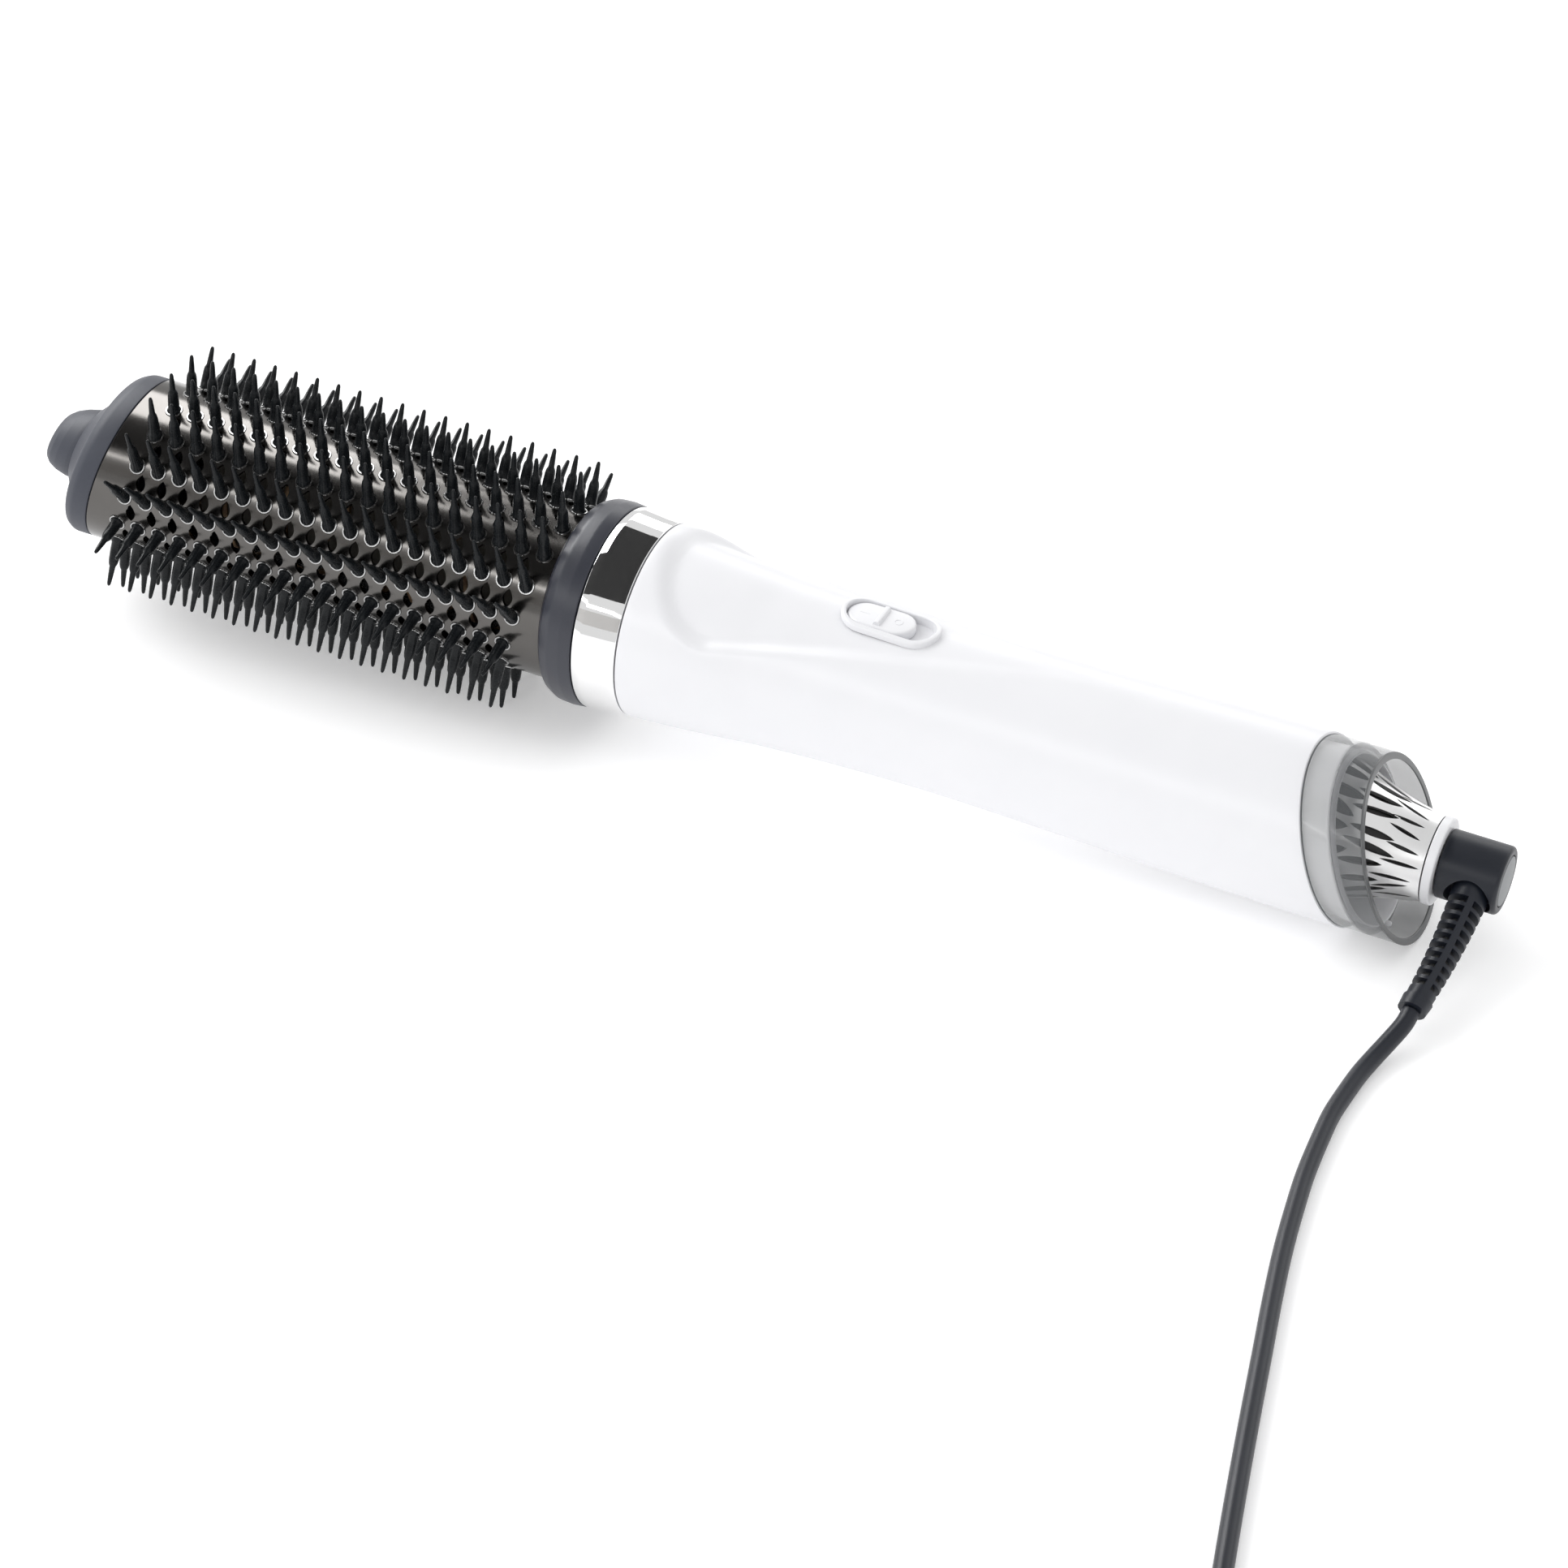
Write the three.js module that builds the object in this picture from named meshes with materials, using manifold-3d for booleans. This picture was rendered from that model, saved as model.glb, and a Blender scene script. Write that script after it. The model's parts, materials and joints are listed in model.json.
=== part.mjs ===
// Hot air brush: a heated round brush with a fan in its handle and a swivelling cord.
// Millimetres, +Z up. The brush lies on its lowest bristles and on the rim of its air inlet.
import * as THREE from 'three';
import { mergeVertices } from 'three/addons/utils/BufferGeometryUtils.js';
import Module from 'manifold-3d';

const wasm = await Module();
wasm.setup();

// Shared sizes
const GAP = 0.3;                  // air left between pieces that touch
const ROUND = 32;                 // sides of the large round pieces
const MID_ROUND = 20;             // sides of the motor and fan
const SMALL_ROUND = 12;           // sides of shafts, pins and the strain relief
const WELD = 1e-4;                // vertices closer than this are one

// Stations along the brush's axis, counted from just in front of its nose
const KNOB_START = 2.2;
const KNOB_END = 18.5;
const CAP_START = 11.1;
const CAP_SHELF = 19.5;
const CAP_SEAM = 24.5;
const BARREL_END = 152.7;
const COLLAR_END = 163.1;
const CHROME_END = 174.6;
const HANDLE_END = 353.1;
const CLEAR_RING_END = 360.2;
const SMOKY_RING_END = 368.3;
const CONE_END = 376.3;
const SWIVEL_COLLAR_END = 379;
const ELBOW_END = 394.2;
const STRAIN_RELIEF_STATION = 387.8;

// The nose and the air inlet are cut at a slant: station += slope * height
const KNOB_RAKE = 0.33;
const NOSE_RAKE = 0.26;
const INLET_RAKE = -0.4;

// Radii
const KNOB_RADIUS = 9.7;
const BARREL_RADIUS = 22.1;
const BARREL_WALL = 1;
const BRISTLE_TIP_RADIUS = 33.5;
const RING_RADIUS = 21.5;
const RING_BORE = 19.9;
const ELBOW_RADIUS = 8.35;

// Bristles
const ROWS = 16;
const BRISTLES_PER_ROW = 19;
const BRISTLE_PITCH = 6.125;
const FIRST_BRISTLE = 33.7;
const ROW_RAKE = 0.28;
const BRISTLE_SIDES = 4;
const BRISTLE_ROOT_R = 1.6;
const BRISTLE_TIP_R = 0.5;
const RAIL_WIDTH = 3.4;
const RAIL_BOTTOM = 20.6;
const RAIL_TOP = 21.8;
const RAIL_OVERHANG = 1.8;
const VENT_LENGTH = 3.6;          // round the barrel
const VENT_WIDTH = 1.8;           // along the barrel

// Slide switch
const SWITCH_STATION = 236.4;
const SLOT_LENGTH = 23;
const SLOT_WIDTH = 10;
const BEZEL_RIM = 1.2;
const BUTTON_LENGTH = 17.4;
const BUTTON_WIDTH = 9.4;

// Cord and plug, in the object's own frame: z is the height above the surface it lies on
const CORD_DIAMETER = 4.4;
const CORD_SIDES = 8;
const COIL_CENTRE = new THREE.Vector3(198.3, -312, 0);
const COIL_INNER_RADIUS = 15.4;
const COIL_OUTER_RADIUS = 36.3;
const COIL_HEIGHT = 18.7;
const PLUG_FACE = new THREE.Vector3(232.2, -392, 8.7);
const PLUG_WIDTH = 36;
const PLUG_THICKNESS = 17;
const PLUG_LENGTH = 22;
const BOOT_LENGTH = 20;
const PIN_SPACING = 19;
const PIN_LENGTH = 19;
const PIN_DIAMETER = 4.8;
const PIN_HELD = 6;
const STRAIN_RELIEF_LENGTH = 32;
const STRAIN_RELIEF_START = ELBOW_RADIUS + 0.5;
const STRAIN_RELIEF_DROP = THREE.MathUtils.degToRad(20);
const STRAIN_RELIEF_LEAN = THREE.MathUtils.degToRad(2.6);

// Materials

function plastic(color, roughness) {
  return new THREE.MeshStandardMaterial({ color, roughness, metalness: 0 });
}

function metal(color, roughness) {
  return new THREE.MeshStandardMaterial({ color, roughness, metalness: 1 });
}

const MATERIALS = {
  white: () => plastic(0xf0f0f3, 0.35),
  slate: () => plastic(0x4a4e5c, 0.6),
  navy: () => plastic(0x55565f, 0.5),
  black: () => plastic(0x101114, 0.45),
  softBlack: () => plastic(0x16181f, 0.7),
  gunmetal: () => metal(0x8f8a88, 0.2),
  chrome: () => metal(0xd8d8d8, 0.05),
  silver: () => metal(0xcccccc, 0.25),
  steel: () => metal(0xa8a8ab, 0.35),
  copper: () => metal(0xb8865a, 0.4),
  clear: () => plastic(0xdcdce2, 0.1),
  smoky: () => plastic(0x6c6c74, 0.15),
  mica: () => plastic(0xb7ab93, 0.8),
  board: () => plastic(0x1f6b3a, 0.6),
  grey: () => plastic(0x777b84, 0.5),
};

// Geometry helpers

function signedVolume(positions, index) {
  const corner = [new THREE.Vector3(), new THREE.Vector3(), new THREE.Vector3()];
  let volume = 0;
  for (let i = 0; i < index.length; i += 3) {
    corner.forEach((point, k) => point.fromArray(positions, index[i + k] * 3));
    volume += corner[0].dot(corner[1].clone().cross(corner[2]));
  }
  return volume;
}

// A closed mesh as a manifold solid, with its faces pointing out
function solidOf(geometry) {
  const bare = geometry.clone();
  bare.deleteAttribute('normal');
  bare.deleteAttribute('uv');
  const merged = mergeVertices(bare, WELD);
  const positions = merged.attributes.position.array;
  const index = [];
  for (let i = 0; i < merged.index.count; i += 3) {
    const [a, b, c] = [0, 1, 2].map((k) => merged.index.getX(i + k));
    if (a !== b && b !== c && c !== a) {
      index.push(a, b, c);
    }
  }
  if (signedVolume(positions, index) < 0) {
    index.reverse();
  }
  const mesh = new wasm.Mesh({
    numProp: 3,
    vertProperties: new Float32Array(positions),
    triVerts: new Uint32Array(index),
  });
  return new wasm.Manifold(mesh);
}

function geometryOf(solid) {
  const mesh = solid.getMesh();
  const geometry = new THREE.BufferGeometry();
  geometry.setAttribute('position', new THREE.BufferAttribute(mesh.vertProperties, mesh.numProp));
  geometry.setIndex(new THREE.BufferAttribute(mesh.triVerts, 1));
  geometry.computeVertexNormals();
  return geometry;
}

function joined(...geometries) {
  return geometryOf(geometries.map(solidOf).reduce((whole, piece) => whole.add(piece)));
}

function cut(geometry, cutters) {
  const whole = solidOf(geometry);
  return geometryOf(cutters.reduce((rest, cutter) => rest.subtract(solidOf(cutter)), whole));
}

// A solid of revolution about the axis, from [station, radius] pairs
function turned(profile, sides = ROUND) {
  const points = profile.map(([station, radius]) => new THREE.Vector2(radius, station));
  if (points[0].x > 0) {
    points.push(points[0].clone());
  }
  return new THREE.LatheGeometry(points, sides).rotateZ(-Math.PI / 2);
}

function tube(start, end, outer, inner, sides = ROUND) {
  return turned([[start, outer], [end, outer], [end, inner], [start, inner]], sides);
}

// Slants the part of a piece between two stations by slope * height
function raked(geometry, slope, from = -Infinity, to = Infinity) {
  const position = geometry.attributes.position;
  for (let i = 0; i < position.count; i++) {
    const x = position.getX(i);
    if (x >= from && x <= to) {
      position.setX(i, x + slope * position.getZ(i));
    }
  }
  return geometry;
}

function box(centre, size) {
  return new THREE.BoxGeometry(...size).translate(...centre);
}

// A bar with half-round ends along the axis, standing between two heights
function stadium(station, length, width, bottom, top) {
  const radius = width / 2;
  const straight = length / 2 - radius;
  const shape = new THREE.Shape();
  shape.moveTo(-straight, -radius);
  shape.lineTo(straight, -radius);
  shape.absarc(straight, 0, radius, -Math.PI / 2, Math.PI / 2, false);
  shape.absarc(-straight, 0, radius, Math.PI / 2, 3 * Math.PI / 2, false);
  const options = { depth: top - bottom, bevelEnabled: false, curveSegments: 6 };
  return new THREE.ExtrudeGeometry(shape, options).translate(station, 0, bottom);
}

function named(name, geometry, material) {
  const closed = geometryOf(solidOf(geometry));
  const mesh = new THREE.Mesh(closed, MATERIALS[material]());
  mesh.name = name;
  return mesh;
}

// The brush head

function rowAngle(row) {
  return (row + 0.5) * 2 * Math.PI / ROWS;
}

function rowShift(angle) {
  return ROW_RAKE * BARREL_RADIUS * Math.cos(angle);
}

function noseCap() {
  const bore = KNOB_RADIUS + GAP;
  const spigotEnd = CAP_SEAM + 5;
  const profile = [
    [CAP_START, bore], [15.6, 15.6], [16.6, 18.8], [17.4, 20.8], [19.2, BARREL_RADIUS],
    [CAP_SEAM - GAP, BARREL_RADIUS], [CAP_SEAM - GAP, 20.8], [spigotEnd, 20.8], [spigotEnd, 18.8],
    [CAP_SHELF, 18.8], [CAP_SHELF, bore],
  ];
  return named('nose_cap', raked(turned(profile), NOSE_RAKE), 'slate');
}

function coolTip() {
  const profile = [
    [KNOB_START, 0], [KNOB_START, 5], [2.8, 6.5], [4.1, 7.6], [6.4, 8.6], [9.7, 9.5],
    [13, KNOB_RADIUS], [KNOB_END, KNOB_RADIUS], [KNOB_END, 0],
  ];
  return named('cool_tip', raked(turned(profile), KNOB_RAKE), 'slate');
}

function barrel() {
  const inner = BARREL_RADIUS - BARREL_WALL;
  const shell = raked(tube(CAP_SEAM, BARREL_END, BARREL_RADIUS, inner), NOSE_RAKE, 0, CAP_SEAM + 1);
  const rowLength = (BRISTLES_PER_ROW - 1) * BRISTLE_PITCH;
  const cutters = [];
  for (let row = 0; row < ROWS; row++) {
    const angle = rowAngle(row);
    const middle = FIRST_BRISTLE + rowShift(angle) + rowLength / 2;
    const slotSize = [rowLength + 2 * (RAIL_OVERHANG + GAP), RAIL_WIDTH + 2 * GAP, 6];
    cutters.push(box([middle, 0, BARREL_RADIUS], slotSize).rotateX(angle));
    const between = row * 2 * Math.PI / ROWS;
    for (let vent = 0; vent < BRISTLES_PER_ROW - 1; vent += 2) {
      const station = FIRST_BRISTLE + rowShift(between) + (vent + 0.5) * BRISTLE_PITCH;
      const leaf = new THREE.CylinderGeometry(1, 1, 6, 4).rotateX(Math.PI / 2);
      leaf.scale(VENT_WIDTH / 2, VENT_LENGTH / 2, 1);
      cutters.push(leaf.translate(station, 0, BARREL_RADIUS).rotateX(between));
    }
  }
  return named('heat_barrel', cut(shell, cutters), 'gunmetal');
}

function bristleStrip() {
  const rowLength = (BRISTLES_PER_ROW - 1) * BRISTLE_PITCH;
  const thickness = RAIL_TOP - RAIL_BOTTOM;
  const root = RAIL_TOP - thickness / 2;
  const size = [rowLength + 2 * RAIL_OVERHANG, RAIL_WIDTH, thickness];
  const pieces = [box([FIRST_BRISTLE + rowLength / 2, 0, root], size)];
  const height = BRISTLE_TIP_RADIUS - root;
  for (let i = 0; i < BRISTLES_PER_ROW; i++) {
    const pin = new THREE.CylinderGeometry(BRISTLE_TIP_R, BRISTLE_ROOT_R, height, BRISTLE_SIDES);
    pin.rotateX(Math.PI / 2);
    pieces.push(pin.translate(FIRST_BRISTLE + i * BRISTLE_PITCH, 0, root + height / 2));
  }
  return joined(...pieces);
}

function bristleStrips() {
  const shape = bristleStrip();
  return Array.from({ length: ROWS }, (_, row) => {
    const strip = named(`bristle_strip_${String(row + 1).padStart(2, '0')}`, shape, 'black');
    strip.rotation.x = rowAngle(row);
    strip.position.x = rowShift(rowAngle(row));
    return strip;
  });
}

function heater() {
  const [start, end] = [46, 144];
  const plate = [(start + end) / 2, end - start, 27];
  const frame = joined(
    box([plate[0], 0, 0], [plate[1], 1, plate[2]]),
    box([plate[0], 0, 0], [plate[1] - 1, plate[2], 1]),
  );
  const cutout = tube(60, 73, 3, 0.6, SMALL_ROUND).translate(0, 6, 6);
  return [
    named('heater_frame', frame, 'mica'),
    named('heater_coil', heaterCoil(52, 138), 'copper'),
    named('thermal_cutout', cutout, 'steel'),
  ];
}

class Helix extends THREE.Curve {
  constructor(start, end, radius, turns) {
    super();
    Object.assign(this, { start, end, radius, turns });
  }

  getPoint(t, target = new THREE.Vector3()) {
    const angle = t * this.turns * 2 * Math.PI;
    const station = this.start + (this.end - this.start) * t;
    return target.set(station, this.radius * Math.cos(angle), this.radius * Math.sin(angle));
  }
}

function roundSection(radius, sides) {
  const shape = new THREE.Shape();
  for (let i = 0; i < sides; i++) {
    const angle = i * 2 * Math.PI / sides;
    const place = [radius * Math.cos(angle), radius * Math.sin(angle)];
    if (i === 0) {
      shape.moveTo(...place);
    } else {
      shape.lineTo(...place);
    }
  }
  shape.closePath();
  return shape;
}

function along(path, radius, sides, steps) {
  const options = { steps, extrudePath: path, bevelEnabled: false };
  return new THREE.ExtrudeGeometry(roundSection(radius, sides), options);
}

function heaterCoil(start, end) {
  const turns = 5;
  return along(new Helix(start, end, 15.4, turns), 0.9, 5, turns * 12);
}

// The collar between the barrel and the handle

function barrelMount() {
  const profile = [
    [147.5, 20.3], [BARREL_END, 20.3], [BARREL_END, 18.2], [188, 18.2], [188, 15.6], [147.5, 15.6],
  ];
  return named('barrel_mount', turned(profile), 'grey');
}

function barrelCollar() {
  const start = BARREL_END + GAP;
  const bore = 18.5;
  const profile = [
    [start, bore], [start, 22.9], [start + 1.1, 24.7], [start + 3.4, 25.9], [start + 7, 26.1],
    [COLLAR_END, 25.8], [COLLAR_END, bore],
  ];
  return named('barrel_collar', turned(profile), 'navy');
}

function chromeRing() {
  const start = COLLAR_END + GAP;
  const profile = [[start, 18.5], [start, 25.5], [start + 0.7, 26], [CHROME_END, 24.9], [CHROME_END, 18.5]];
  return named('chrome_ring', turned(profile), 'chrome');
}

// The handle and what is in it

function handleShell() {
  const start = CHROME_END + GAP;
  const outer = [
    [start, 24.85], [188, 24.05], [200.5, 23], [214, 21.7], [230, 21], [258, 20.45],
    [289, 20.9], [319, 21.7], [344, 22], [HANDLE_END, 22],
  ];
  const inner = [[HANDLE_END, 19.8], [340, 19.6], [300, 18.6], [258, 18.2], [210, 18.6], [start, 22]];
  const shell = raked(turned([...outer, ...inner]), INLET_RAKE, HANDLE_END - 1);
  const hole = stadium(
    SWITCH_STATION,
    SLOT_LENGTH + 2 * (BEZEL_RIM + GAP),
    SLOT_WIDTH + 2 * (BEZEL_RIM + GAP),
    15,
    30,
  );
  return named('handle_shell', cut(shell, [hole]), 'white');
}

function switchParts() {
  const [floor, top] = [17.2, 21.5];
  const rim = stadium(SWITCH_STATION, SLOT_LENGTH + 2 * BEZEL_RIM, SLOT_WIDTH + 2 * BEZEL_RIM, floor, top);
  const well = stadium(SWITCH_STATION, SLOT_LENGTH, SLOT_WIDTH, floor + 1, top + 1);
  const stemLength = 5;
  const travel = 5;
  const buttonStation = SWITCH_STATION - SLOT_LENGTH / 2 + GAP + BUTTON_LENGTH / 2;
  const stemSlot = [buttonStation + travel / 2, 0, floor];
  const bezel = cut(rim, [well, box(stemSlot, [stemLength + travel + 1, 3.6, 4])]);
  const button = joined(
    stadium(buttonStation, BUTTON_LENGTH, BUTTON_WIDTH, floor + 1 + GAP, top - 0.2),
    box([buttonStation, 0, 20.9], [1.5, BUTTON_WIDTH - 1.6, 2.2]),
    box([buttonStation, 0, 15.7], [stemLength, 3, 6]),
  );
  return {
    fixed: [
      named('switch_bezel', bezel, 'white'),
      named('switch_body', box([238, 0, 9.4], [22, 9, 5.8]), 'black'),
      named('control_board', box([246, 0, 5.4], [70, 26, 1.6]), 'board'),
    ],
    button: named('switch_button', button, 'white'),
  };
}

function fan() {
  const housing = tube(300, 340, 17.9, 16.3, MID_ROUND);
  const motor = turned([[284, 1.9], [284, 11], [286, 12], [316, 12], [316, 1.9]], MID_ROUND);
  const spokes = [0, 1, 2].map((k) => {
    const gap = new THREE.CylinderGeometry(1.5, 1.5, 10, SMALL_ROUND).rotateZ(Math.PI / 2);
    return gap.translate(305, 0, 14.2).rotateX(k * 2 * Math.PI / 3);
  });
  const mount = cut(tube(302.5, 307.5, 16, 12.3, MID_ROUND), spokes);
  const blades = Array.from({ length: 7 }, (_, k) => {
    const blade = box([0, 0, 0], [11, 1.2, 11]).rotateZ(THREE.MathUtils.degToRad(35));
    return blade.translate(327, 0, 9.5).rotateX(k * 2 * Math.PI / 7);
  });
  const hub = turned([[320, 1.8], [320, 5], [333, 4], [333, 1.8]], MID_ROUND);
  const shaft = turned([[280, 0], [280, 1.5], [336, 1.5], [336, 0]], SMALL_ROUND);
  return {
    fixed: [
      named('fan_housing', housing, 'grey'),
      named('fan_motor', motor, 'steel'),
      named('motor_mount', mount, 'grey'),
    ],
    turning: [
      named('fan_impeller', joined(hub, ...blades), 'black'),
      named('motor_shaft', shaft, 'steel'),
    ],
  };
}

// The air inlet

function inletRings() {
  const clear = tube(HANDLE_END + GAP, CLEAR_RING_END - GAP, RING_RADIUS, RING_BORE);
  const smoky = tube(CLEAR_RING_END, SMOKY_RING_END, RING_RADIUS, RING_BORE);
  return [
    named('clear_ring', raked(clear, INLET_RAKE), 'clear'),
    named('smoky_ring', raked(smoky, INLET_RAKE), 'smoky'),
  ];
}

function intakeCone() {
  const wall = 1.3;
  const outer = [[345, 18.9], [352, 18.2], [358, 15.6], [364, 13.3], [370, 11.6], [CONE_END, 10.5]];
  const inner = outer.map(([station, radius]) => [station, radius - wall]).reverse();
  const slots = Array.from({ length: 12 }, (_, k) => {
    return box([361.5, 0, 15], [17, 2.6, 12]).rotateX(k * Math.PI / 6);
  });
  return named('intake_cone', cut(turned([...outer, ...inner], 24), slots), 'silver');
}

// The swivel

function swivelCollar() {
  const profile = [
    [CONE_END + GAP, 5], [CONE_END + GAP, 10.7], [SWIVEL_COLLAR_END - 0.5, 10.7],
    [SWIVEL_COLLAR_END - 0.1, 10.2], [SWIVEL_COLLAR_END - 0.1, 5],
  ];
  return named('swivel_collar', turned(profile, 24), 'white');
}

function swivelElbow() {
  const start = SWIVEL_COLLAR_END + 0.2;
  const profile = [
    [366, 0], [366, 4.6], [start, 4.6], [start, ELBOW_RADIUS], [ELBOW_END - 1.2, ELBOW_RADIUS],
    [ELBOW_END, ELBOW_RADIUS - 1], [ELBOW_END, 6.4], [ELBOW_END - 1, 6.4], [ELBOW_END - 1, 0],
  ];
  return named('swivel_elbow', turned(profile, 24), 'softBlack');
}

function swivelTrim() {
  const cap = turned([
    [ELBOW_END - 1 + GAP, 0], [ELBOW_END - 1 + GAP, 6.1], [ELBOW_END + GAP, 6.1], [ELBOW_END + GAP, 0],
  ], 24);
  return [
    named('elbow_end_cap', cap, 'grey'),
    named('swivel_clip', tube(370, 372, 6.8, 4.9, SMALL_ROUND), 'steel'),
  ];
}

function contactBlock() {
  return named('contact_block', tube(355, 368.5, 7.4, 5, SMALL_ROUND), 'grey');
}

function strainReliefDirection() {
  const outward = Math.cos(STRAIN_RELIEF_LEAN);
  return new THREE.Vector3(
    -Math.sin(STRAIN_RELIEF_LEAN),
    -outward * Math.cos(STRAIN_RELIEF_DROP),
    -outward * Math.sin(STRAIN_RELIEF_DROP),
  );
}

function strainRelief() {
  const shape = new THREE.CylinderGeometry(3, 4.4, STRAIN_RELIEF_LENGTH, SMALL_ROUND);
  const relief = named('strain_relief', shape, 'softBlack');
  const direction = strainReliefDirection();
  relief.quaternion.setFromUnitVectors(new THREE.Vector3(0, 1, 0), direction);
  relief.position.set(STRAIN_RELIEF_STATION, 0, 0);
  relief.position.addScaledVector(direction, STRAIN_RELIEF_START + STRAIN_RELIEF_LENGTH / 2);
  return relief;
}

// The cord and what is on it, lying on the surface

const CORD_ROUTE = [
  [187.5, -38.7, 7.1], [187, -42.3, 5.7], [185.4, -47.6, 4.1], [183.9, -53, 3], [182.7, -59.5, 2.5],
  [182.1, -67.4, 2.4], [181.8, -75, 2.4], [182.2, -82.5, 2.4], [183.4, -96, 2.4], [185, -107, 2.4],
  [187.6, -122, 2.4], [191, -138, 2.4], [195.2, -156, 2.4], [199.6, -175, 2.4], [204.6, -196, 2.4],
  [209.8, -217, 2.4], [215.2, -238, 2.4], [220.6, -258, 2.4], [225.2, -275, 2.4],
  [227.6, -286.5, 2.4],
];

const CORD_TAIL = [[232.2, -330.6, 12.6], [232.2, -336, 11], [232.2, -341, 9.8], [232.2, -349.7, 8.7]];

function cordTube(name, points) {
  const path = new THREE.CatmullRomCurve3(points.map((point) => new THREE.Vector3(...point)));
  const steps = Math.round(path.getLength() / (2 * CORD_DIAMETER));
  return named(name, along(path, CORD_DIAMETER / 2, CORD_SIDES, steps), 'softBlack');
}

function plug() {
  const blank = stadium(0, PLUG_WIDTH, PLUG_THICKNESS, 0, PLUG_LENGTH);
  const boot = new THREE.CylinderGeometry(3.2, 7, BOOT_LENGTH + 1, SMALL_ROUND);
  boot.rotateX(Math.PI / 2).translate(0, 0, PLUG_LENGTH + BOOT_LENGTH / 2 - 0.5);
  const places = [-PIN_SPACING / 2, PIN_SPACING / 2];
  const pinRadius = PIN_DIAMETER / 2;
  const holes = places.map((x) => {
    const hole = new THREE.CylinderGeometry(pinRadius + GAP, pinRadius + GAP, PIN_HELD, SMALL_ROUND);
    return hole.rotateX(Math.PI / 2).translate(x, 0, PIN_HELD / 2 - 0.001);
  });
  const pins = places.map((x, k) => {
    const pin = new THREE.CylinderGeometry(pinRadius, pinRadius, PIN_LENGTH + PIN_HELD - GAP, SMALL_ROUND);
    pin.rotateX(Math.PI / 2).translate(x, 0, PIN_HELD - GAP - (PIN_LENGTH + PIN_HELD - GAP) / 2);
    return named(`plug_pin_${k + 1}`, pin, 'steel');
  });
  const group = new THREE.Group();
  group.add(named('plug_body', cut(joined(blank, boot), holes), 'softBlack'), ...pins);
  group.rotation.x = -Math.PI / 2;
  group.position.copy(PLUG_FACE);
  return group;
}

function cordParts() {
  const coil = new THREE.LatheGeometry([
    new THREE.Vector2(COIL_INNER_RADIUS, 0.1),
    new THREE.Vector2(COIL_OUTER_RADIUS, 0.1),
    new THREE.Vector2(COIL_OUTER_RADIUS, COIL_HEIGHT),
    new THREE.Vector2(COIL_INNER_RADIUS, COIL_HEIGHT),
    new THREE.Vector2(COIL_INNER_RADIUS, 0.1),
  ], 24).rotateX(Math.PI / 2);
  return [
    cordTube('cord', CORD_ROUTE),
    named('cord_coil', coil.translate(...COIL_CENTRE), 'softBlack'),
    cordTube('cord_tail', CORD_TAIL),
    plug(),
  ];
}

// Everything together

const brush = new THREE.Group();
const switches = switchParts();
const fanParts = fan();
brush.add(
  coolTip(), noseCap(), barrel(), ...bristleStrips(), ...heater(), barrelMount(), barrelCollar(),
  chromeRing(), handleShell(), ...switches.fixed, switches.button, ...fanParts.fixed,
  ...fanParts.turning, ...inletRings(), intakeCone(), contactBlock(), swivelCollar(),
  swivelElbow(), ...swivelTrim(),
);

// It lies on the last bristles of its two lowest rows and on the lowest edge of the inlet
const lowRow = Math.cos(rowAngle(0));
const bristleContact = [
  FIRST_BRISTLE - rowShift(rowAngle(0)) + (BRISTLES_PER_ROW - 1) * BRISTLE_PITCH,
  BRISTLE_TIP_RADIUS * lowRow,
];
const rimContact = [SMOKY_RING_END - INLET_RAKE * RING_RADIUS, RING_RADIUS];
brush.rotation.y = Math.atan2(bristleContact[1] - rimContact[1], rimContact[0] - bristleContact[0]);
brush.updateMatrixWorld(true);
const bounds = new THREE.Box3().setFromObject(brush, true);
const middle = bounds.getCenter(new THREE.Vector3());
brush.position.set(-middle.x, -middle.y, -bounds.min.z);
brush.add(strainRelief());

const hotAirBrush = new THREE.Group();
hotAirBrush.add(brush, ...cordParts());

export default hotAirBrush;
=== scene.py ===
import json
import math
import random

import bmesh
import bpy
from mathutils import Matrix, Vector


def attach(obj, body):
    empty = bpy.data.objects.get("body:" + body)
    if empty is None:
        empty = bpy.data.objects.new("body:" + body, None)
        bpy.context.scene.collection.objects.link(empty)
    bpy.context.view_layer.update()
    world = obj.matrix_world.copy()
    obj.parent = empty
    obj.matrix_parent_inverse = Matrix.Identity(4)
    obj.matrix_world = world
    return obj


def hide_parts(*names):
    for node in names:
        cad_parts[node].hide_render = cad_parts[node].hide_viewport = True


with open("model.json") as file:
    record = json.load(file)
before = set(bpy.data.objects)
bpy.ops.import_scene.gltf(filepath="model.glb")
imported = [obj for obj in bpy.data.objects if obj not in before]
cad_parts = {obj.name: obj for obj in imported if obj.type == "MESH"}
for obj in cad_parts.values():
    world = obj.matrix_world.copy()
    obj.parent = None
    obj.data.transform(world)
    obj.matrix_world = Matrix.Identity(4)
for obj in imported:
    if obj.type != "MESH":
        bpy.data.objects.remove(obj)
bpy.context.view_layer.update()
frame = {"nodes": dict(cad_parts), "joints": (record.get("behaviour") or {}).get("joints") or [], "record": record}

# A hot air brush: its visible pieces, materials, cord and lighting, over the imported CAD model

# The brush's own frame: millimetres, x is the station from the tip of the nose, z points at the
# switch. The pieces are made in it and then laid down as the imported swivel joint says.
MM = 0.001
SWIVEL_STATION = 387.8
swivel = next(j for j in frame["joints"] if j["name"] == "cord_swivel")
AXIS = Vector(swivel["axis"]).normalized()
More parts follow.
